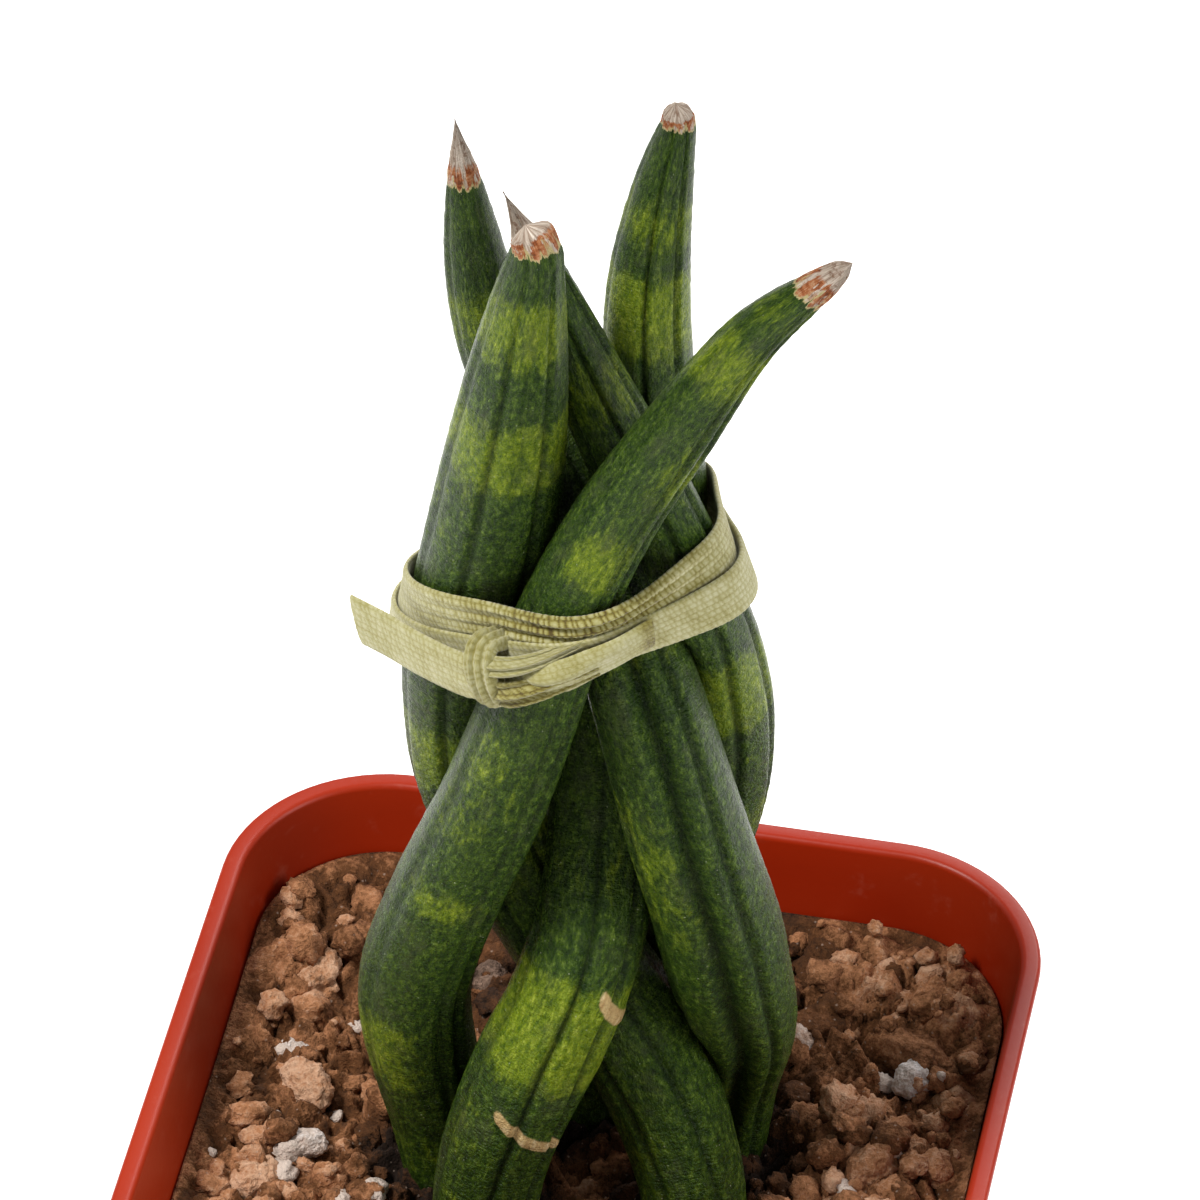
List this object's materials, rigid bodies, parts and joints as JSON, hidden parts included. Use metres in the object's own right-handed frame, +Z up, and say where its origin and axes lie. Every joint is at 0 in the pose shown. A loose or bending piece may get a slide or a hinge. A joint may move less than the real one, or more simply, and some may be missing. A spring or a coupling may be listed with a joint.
{
  "type": "potted braided snake plant",
  "caption": "Small braided cylindrical snake plant, five round leaves tied with a woven ribbon, in a square terracotta-coloured plastic pot.",
  "frame": {"origin": "middle of the pot's underside, on the surface that the pot stands on", "axes": "+Z up along the plant, X and Y square to the pot's sides"},
  "size_m": [0.08, 0.08, 0.1813],
  "materials": {
    "pot_plastic": "satin terracotta-orange moulded polypropylene",
    "potting_mix": "loose, coarse and matte",
    "leaf": "waxy green with yellow-green bands",
    "ribbon": "woven, cream to khaki",
    "bark": "rough and dry",
    "perlite": "porous and chalky"
  },
  "bodies": {
    "root": {"bark_01": "bark", "bark_02": "bark", "bark_03": "bark", "bark_04": "bark", "bark_05": "bark", "bark_06": "bark", "bark_07": "bark", "bark_08": "bark", "bark_09": "bark", "bark_10": "bark", "bark_11": "bark", "bark_12": "bark", "bark_13": "bark", "bark_14": "bark", "bark_15": "bark", "bark_16": "bark", "bark_17": "bark", "bark_18": "bark", "leaf_back": "leaf", "leaf_bottom": "leaf", "leaf_front": "leaf", "leaf_left": "leaf", "leaf_right": "leaf", "perlite_01": "perlite", "perlite_02": "perlite", "perlite_03": "perlite", "perlite_04": "perlite", "perlite_05": "perlite", "perlite_06": "perlite", "perlite_07": "perlite", "perlite_08": "perlite", "perlite_09": "perlite", "perlite_10": "perlite", "perlite_11": "perlite", "pot": "pot_plastic", "potting_mix": "potting_mix", "ribbon_tie": "ribbon"}
  },
  "joints": []
}
